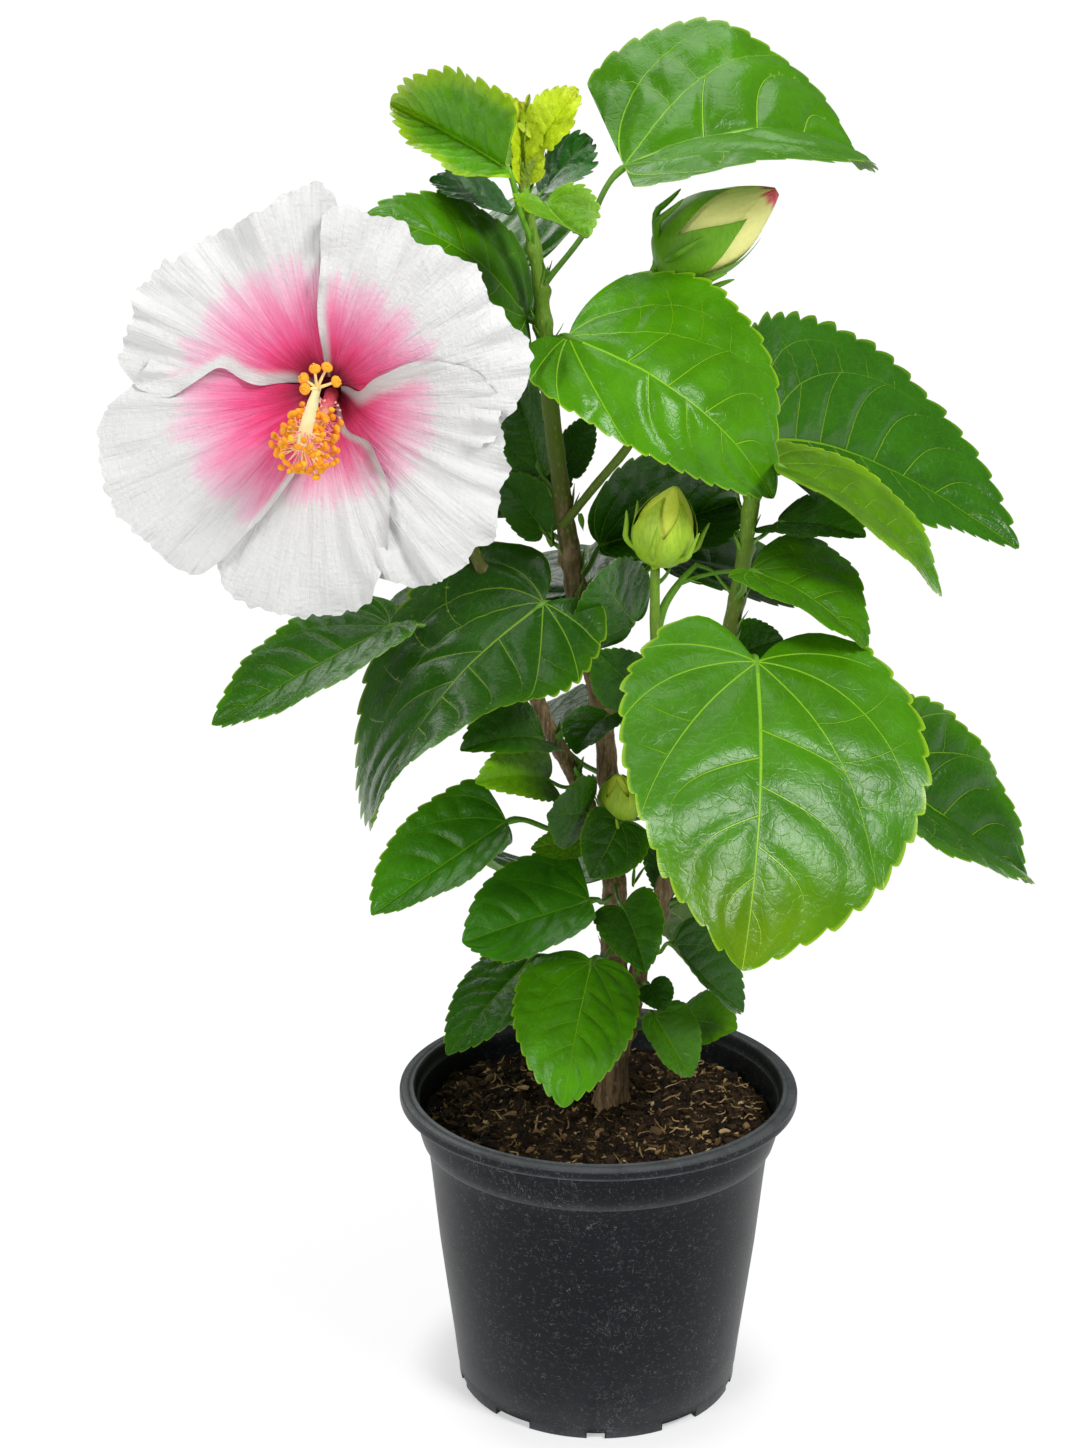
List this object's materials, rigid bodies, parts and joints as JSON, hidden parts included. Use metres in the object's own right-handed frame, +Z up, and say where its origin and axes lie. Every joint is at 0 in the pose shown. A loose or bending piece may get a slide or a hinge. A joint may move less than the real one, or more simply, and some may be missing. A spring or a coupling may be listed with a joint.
{
  "type": "potted hibiscus shrub",
  "caption": "Upright potted flowering shrub with large toothed leaves on long stalks, an open ruffled white bloom with a pink eye, closed buds and a plain black nursery pot",
  "frame": {"origin": "centre of the flat boss under the pot's floor, level with the pot's feet, on the pot's axis", "axes": "+Z up from the underside of the pot to the crown; -Y is the side the open bloom faces; +X to the right of someone who looks at the bloom"},
  "size_m": [0.3738, 0.2962, 0.5679],
  "materials": {
    "pot_plastic": "satin",
    "potting_mix": "matte",
    "bark": "matte",
    "green_stem": "satin",
    "leaf": "satin",
    "young_leaf": "satin",
    "petal": "matte",
    "bud": "satin"
  },
  "bodies": {
    "root": {"pot": "pot_plastic", "soil": "potting_mix", "main_stem": "bark", "bough_right": "bark", "bough_left": "bark", "bough_centre": "green_stem", "bough_upper": "green_stem", "shoot_tip": "young_leaf", "bloom": "petal", "bud_upper": "bud", "bud_centre": "bud", "bud_low": "bud", "leaf_crown_right": "leaf", "leaf_crown_left": "young_leaf", "leaf_behind_bloom": "leaf", "leaf_upper_front": "leaf", "leaf_right_high": "leaf", "leaf_right_folded": "leaf", "leaf_right_small": "leaf", "leaf_right_middle": "leaf", "leaf_front_large": "leaf", "leaf_right_low": "leaf", "leaf_left_large": "leaf", "leaf_left_high": "leaf", "leaf_left_middle": "leaf", "leaf_left_low": "leaf", "leaf_rim_left": "leaf", "leaf_rim_front": "leaf", "leaf_heart_low": "leaf", "leaf_heart_middle": "leaf", "leaf_rim_right": "leaf", "leaf_rim_round": "leaf", "leaf_rim_small": "leaf", "leaf_rim_rear": "leaf", "leaf_centre_shade": "leaf", "leaf_centre_middle": "leaf", "leaf_centre_low": "leaf", "leaf_stem_left": "leaf", "leaf_stem_high": "leaf", "leaf_left_small_a": "leaf", "leaf_left_small_b": "leaf", "leaf_centre_small": "leaf", "leaf_left_small_c": "leaf", "shoot_front": "young_leaf", "shoot_left": "young_leaf", "shoot_right": "young_leaf", "leaf_rear_01": "leaf", "leaf_rear_02": "leaf", "leaf_rear_03": "leaf", "leaf_rear_04": "leaf", "leaf_rear_05": "leaf", "leaf_rear_06": "leaf", "leaf_rear_07": "leaf", "leaf_rear_08": "leaf", "leaf_rear_09": "leaf", "leaf_rear_10": "leaf", "leaf_rear_11": "leaf", "leaf_rear_12": "leaf", "leaf_rear_13": "leaf", "leaf_rear_14": "leaf"}
  },
  "joints": []
}
